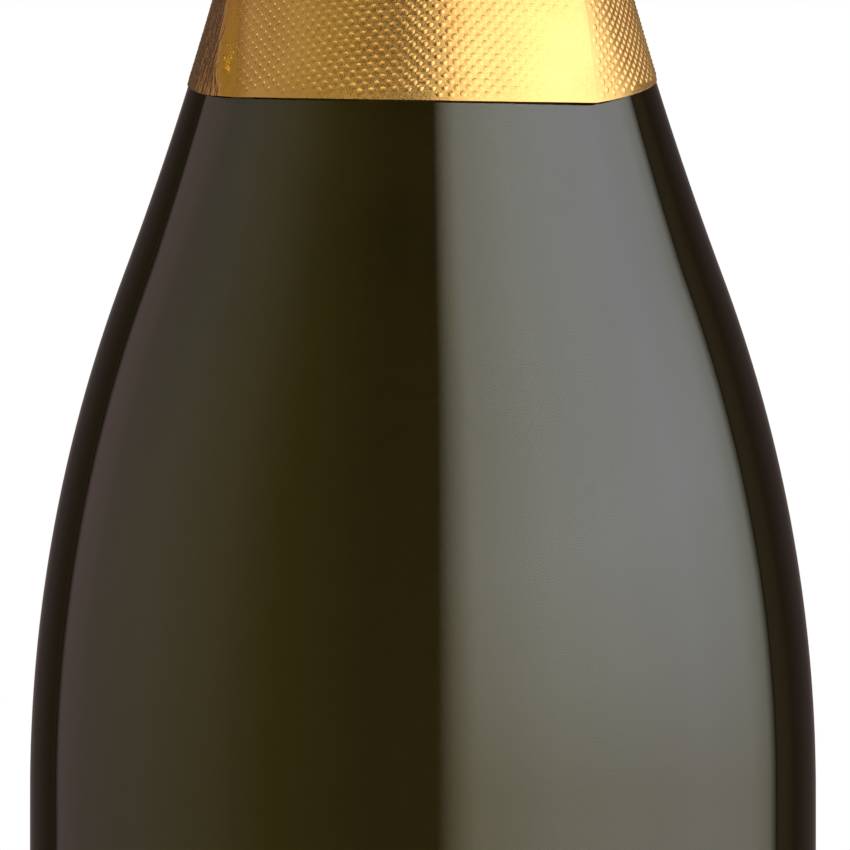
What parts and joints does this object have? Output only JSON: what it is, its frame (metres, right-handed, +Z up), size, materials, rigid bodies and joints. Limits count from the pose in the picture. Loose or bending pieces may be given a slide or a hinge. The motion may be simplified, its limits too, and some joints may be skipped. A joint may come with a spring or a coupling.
{
  "type": "sparkling wine bottle",
  "caption": "Dark glass sparkling wine bottle with an embossed gold foil hood and collar, a wire cage over a mushroom cork, and blank labels; hood, cage and cork lift off.",
  "frame": {"origin": "centre of the standing ring, on the surface that the bottle stands on", "axes": "+Z up along the bottle's axis; the front label faces -Y and the pull tab is on the +X side"},
  "size_m": [0.089, 0.0896, 0.3218],
  "materials": {
    "dark_glass": "dark olive bottle glass, glossy",
    "wine": "clear pale gold liquid",
    "label_paper": "uncoated, blank",
    "gold_foil": "gold lacquered foil with embossed dots",
    "cap_metal": "gold lacquered tinplate",
    "cage_wire": "galvanised wire",
    "agglomerate_cork": "granulated cork",
    "natural_cork": "natural cork disc"
  },
  "bodies": {
    "bottle": {"glass_bottle": "dark_glass", "wine": "wine", "front_label": "label_paper", "back_label": "label_paper", "foil_collar": "gold_foil", "tear_band": "gold_foil"},
    "tab": {"pull_tab": "gold_foil"},
    "cork": {"cork_body": "agglomerate_cork", "cork_disc_upper": "natural_cork", "cork_disc_lower": "natural_cork"},
    "cage": {"cap_plate": "cap_metal", "cage_top_ring": "cage_wire", "cage_leg_1": "cage_wire", "cage_leg_2": "cage_wire", "cage_leg_3": "cage_wire", "cage_leg_4": "cage_wire", "cage_belt": "cage_wire"},
    "loop": {"cage_loop": "cage_wire"},
    "hood": {"hood_skirt": "gold_foil", "hood_disc": "gold_foil"}
  },
  "joints": [
    {"name": "cork_pull", "type": "slide", "parent": "bottle", "child": "cork", "axis": [0, 0, 1], "range_m": [0, 0.05]},
    {"name": "cage_lift", "type": "slide", "parent": "cork", "child": "cage", "axis": [0, 0, 1], "range_m": [0, 0.05], "deforming": ["cage_leg_1", "cage_leg_2", "cage_leg_3", "cage_leg_4"]},
    {"name": "hood_lift", "type": "slide", "parent": "cage", "child": "hood", "axis": [0, 0, 1], "range_m": [0, 0.16]},
    {"name": "loop_fold", "type": "hinge", "parent": "cage", "child": "loop", "pos_m": [0, -0.0177, 0.27474], "axis": [1, 0, 0], "range_deg": [0, 91]},
    {"name": "tab_peel", "type": "hinge", "parent": "bottle", "child": "tab", "pos_m": [0.0172, 0, 0.26766], "axis": [0.4194, 0, 0.9078], "range_deg": [0, 150]}
  ],
  "couplings": [
    {"joint": "loop_fold", "follows": "hood_lift", "rad_per_m": 9.8175}
  ]
}
